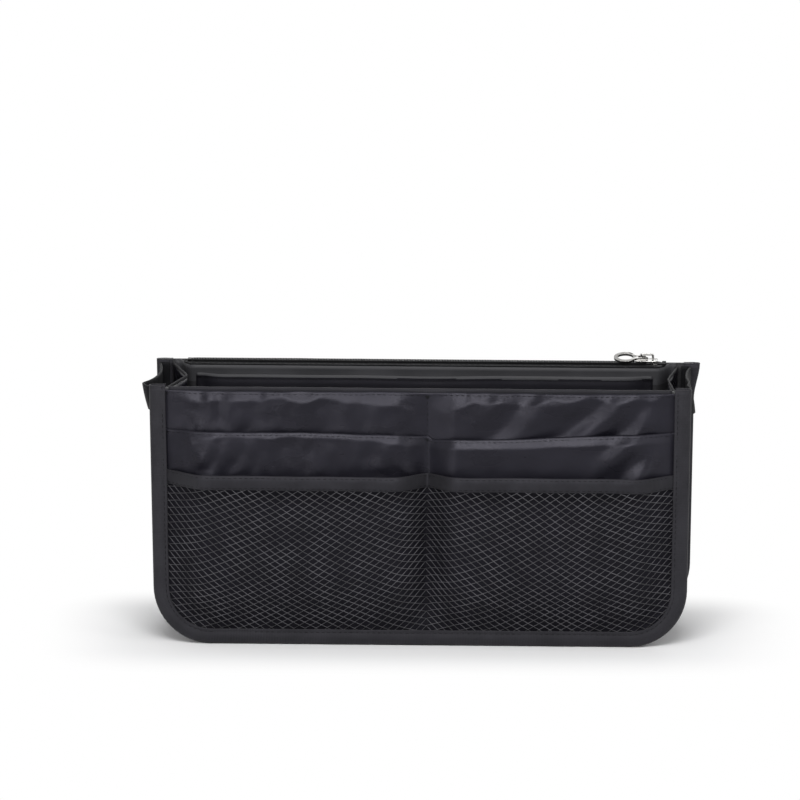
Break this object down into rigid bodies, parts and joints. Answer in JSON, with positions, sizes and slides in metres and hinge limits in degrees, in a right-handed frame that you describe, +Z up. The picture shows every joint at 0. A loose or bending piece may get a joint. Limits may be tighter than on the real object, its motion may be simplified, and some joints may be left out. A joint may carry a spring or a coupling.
{
  "type": "purse organizer insert",
  "caption": "Soft open-topped handbag insert with bound cloth walls, slip and net pockets, a zip pouch, folding side gussets and side grab straps.",
  "frame": {"origin": "centre of the floor area that the insert covers, on the floor it stands on", "axes": "+X to the right as seen from the net pockets, +Y from the net pockets to the zip pouch, +Z up"},
  "size_m": [0.308, 0.098, 0.1529],
  "materials": {
    "satin_cloth": "satin nylon",
    "lining_cloth": "matte",
    "binding_tape": "matte ribbed tape",
    "net": "knotless nylon net",
    "stiffener": "matte",
    "zipper_tape": "matte",
    "zipper_teeth": "satin",
    "nickel": "nickel plated",
    "webbing": "ribbed webbing"
  },
  "bodies": {
    "shell": {"rear_outer": "satin_cloth", "rear_pocket": "satin_cloth", "gusset_left": "satin_cloth", "gusset_right": "satin_cloth", "base_strip": "satin_cloth", "rear_lining": "lining_cloth", "pouch_wall": "lining_cloth", "inner_pocket": "lining_cloth", "rear_binding": "binding_tape", "gusset_hem_left": "binding_tape", "gusset_hem_right": "binding_tape", "rear_stiffener": "stiffener", "base_board": "stiffener", "zipper_tape_front": "zipper_tape", "zipper_tape_rear": "zipper_tape", "zipper_teeth_front": "zipper_teeth", "zipper_teeth_rear": "zipper_teeth", "zipper_stop_left": "zipper_teeth", "zipper_stop_right_front": "zipper_teeth", "zipper_stop_right_rear": "zipper_teeth"},
    "front": {"front_lining": "lining_cloth", "front_stiffener": "stiffener", "front_outer": "satin_cloth", "front_top_binding": "binding_tape", "upper_pocket": "satin_cloth", "middle_pocket": "satin_cloth", "mesh_net_left": "net", "mesh_net_right": "net", "mesh_band": "binding_tape", "front_binding": "binding_tape"},
    "slider": {"slider_body": "nickel", "slider_bridge": "nickel"},
    "pull": {"pull_tab": "nickel"},
    "handle_left": {"handle_left_strap": "webbing"},
    "handle_right": {"handle_right_strap": "webbing"}
  },
  "joints": [
    {"name": "front_fold", "type": "hinge", "parent": "shell", "child": "front", "pos_m": [0, -0.02778, 0.0096], "axis": [-1, 0, 0], "range_deg": [0, 18], "deforming": ["gusset_left", "gusset_right", "gusset_hem_left", "gusset_hem_right", "handle_left_strap", "handle_right_strap"]},
    {"name": "zip_travel", "type": "slide", "parent": "shell", "child": "slider", "axis": [-1, 0, 0], "range_m": [0, 0.245], "deforming": ["zipper_tape_front", "zipper_tape_rear", "zipper_teeth_front", "zipper_teeth_rear"]},
    {"name": "pull_swing", "type": "hinge", "parent": "slider", "child": "pull", "pos_m": [0.1236, 0.03522, 0.15035], "axis": [0, 1, 0], "range_deg": [0, 170]},
    {"name": "handle_left_swing", "type": "hinge", "parent": "shell", "child": "handle_left", "pos_m": [-0.145, 0.00722, 0.1445], "axis": [0, 1, 0], "range_deg": [0, 80]},
    {"name": "handle_right_swing", "type": "hinge", "parent": "shell", "child": "handle_right", "pos_m": [0.145, 0.00722, 0.1445], "axis": [0, -1, 0], "range_deg": [0, 80]}
  ]
}
